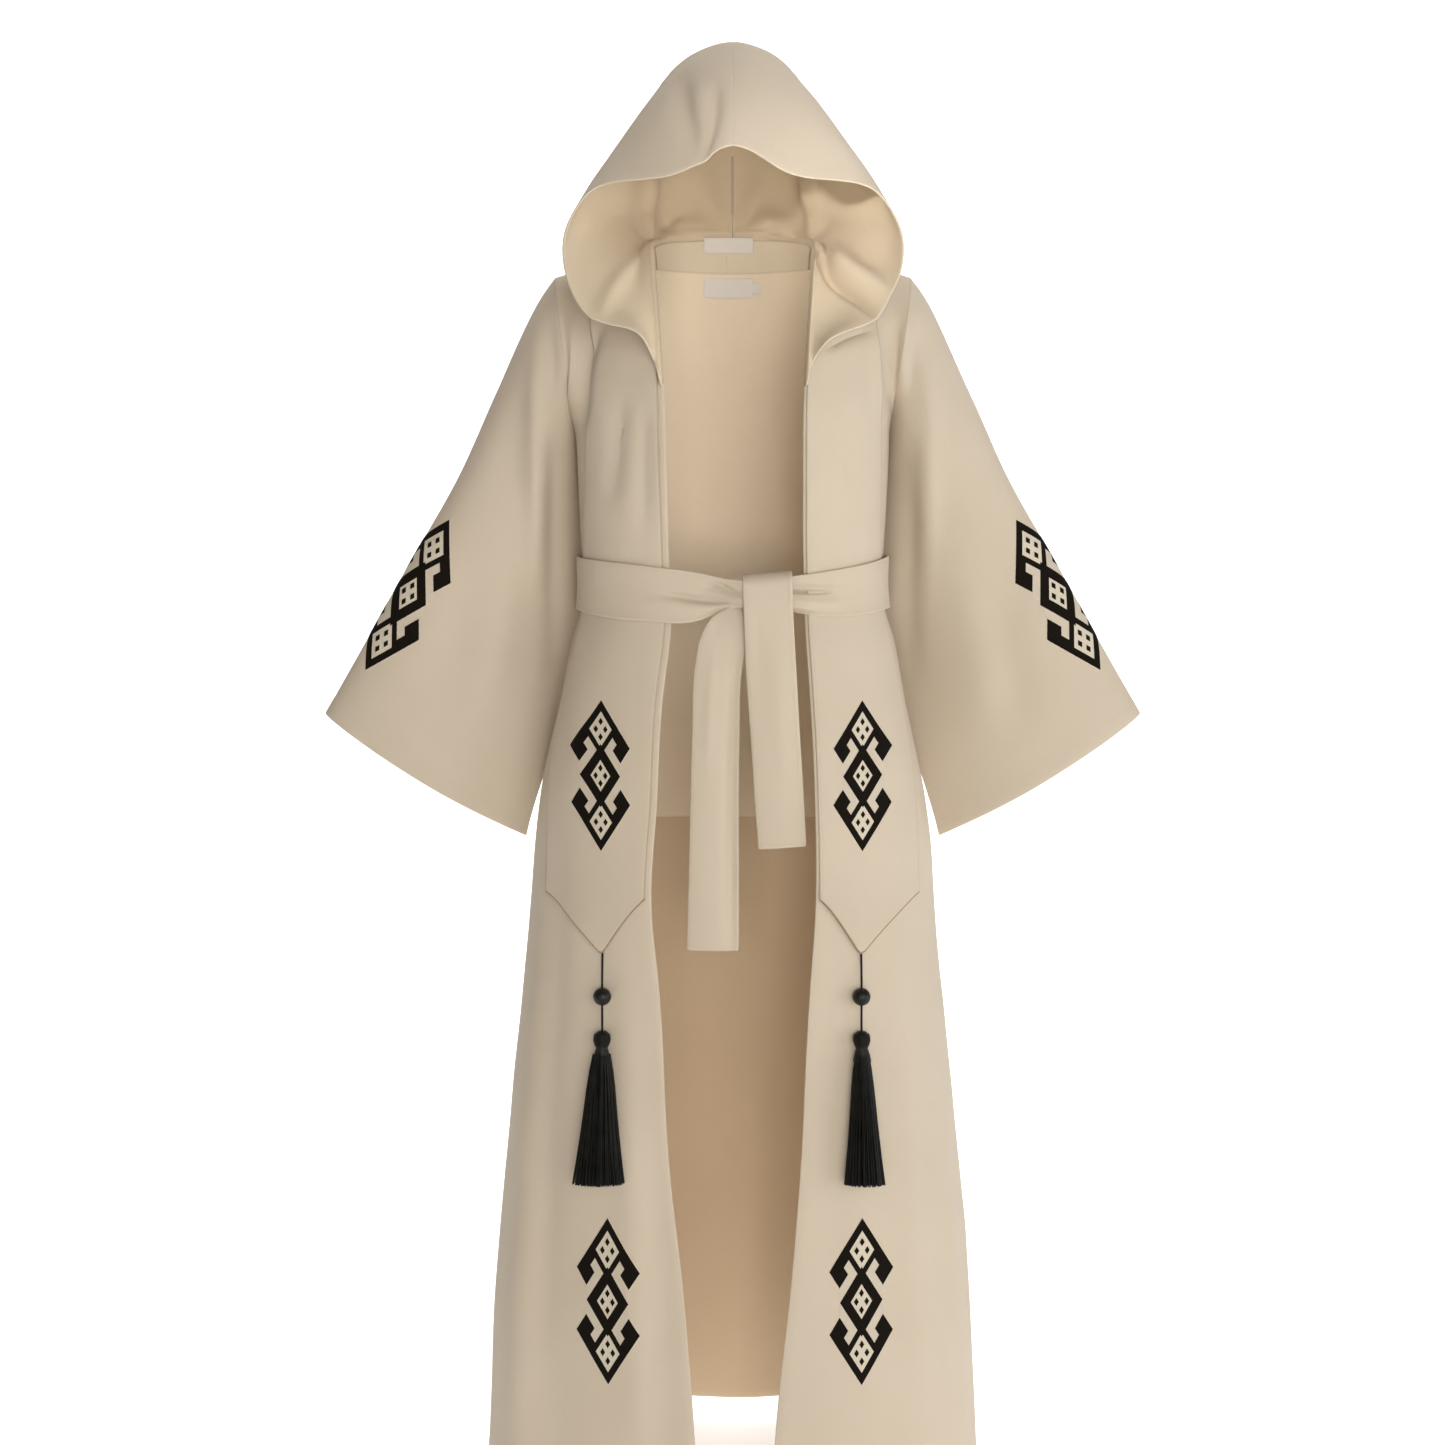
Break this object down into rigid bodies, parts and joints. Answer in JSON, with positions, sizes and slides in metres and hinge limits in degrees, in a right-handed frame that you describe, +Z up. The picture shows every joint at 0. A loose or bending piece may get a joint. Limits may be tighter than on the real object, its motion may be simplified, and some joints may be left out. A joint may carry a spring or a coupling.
{
  "type": "hooded kaftan",
  "caption": "Floor-length hooded kaftan with an open front, wide sleeves, a tied sash and tasselled over-panels, filled out as worn.",
  "frame": {"origin": "the middle of the neck, level with the shoulders that carry the garment", "axes": "+Z up, the open front faces -Y, and the side called left is -X"},
  "size_m": [0.9516, 0.3759, 1.6685],
  "materials": {
    "robe_cloth": "smooth plain weave, matt with a slight sheen",
    "hood_cloth": "smooth plain weave, matt with a slight sheen",
    "panel_cloth": "smooth plain weave with black and cream woven ornament",
    "sash_cloth": "smooth plain weave, doubled",
    "lining_cloth": "thin plain weave, matt",
    "label_cloth": "fine woven tape, blank",
    "bead": "black, satin",
    "trim_yarn": "black twisted yarn"
  },
  "bodies": {
    "root": {"back": "robe_cloth", "front_left": "robe_cloth", "front_right": "robe_cloth", "sleeve_left": "robe_cloth", "sleeve_right": "robe_cloth", "hood_left": "hood_cloth", "hood_right": "hood_cloth", "over_panel_left": "panel_cloth", "over_panel_right": "panel_cloth", "belt_wrap": "sash_cloth", "belt_knot": "sash_cloth", "belt_tail_long": "sash_cloth", "belt_tail_short": "sash_cloth", "half_lining": "lining_cloth", "neck_facing": "lining_cloth", "hood_label": "label_cloth", "neck_label": "label_cloth", "tassel_bead_left": "bead", "tassel_bead_right": "bead", "tassel_left": "trim_yarn", "tassel_right": "trim_yarn", "tassel_cord_upper_left": "trim_yarn", "tassel_cord_upper_right": "trim_yarn", "tassel_cord_lower_left": "trim_yarn", "tassel_cord_lower_right": "trim_yarn"}
  },
  "joints": []
}
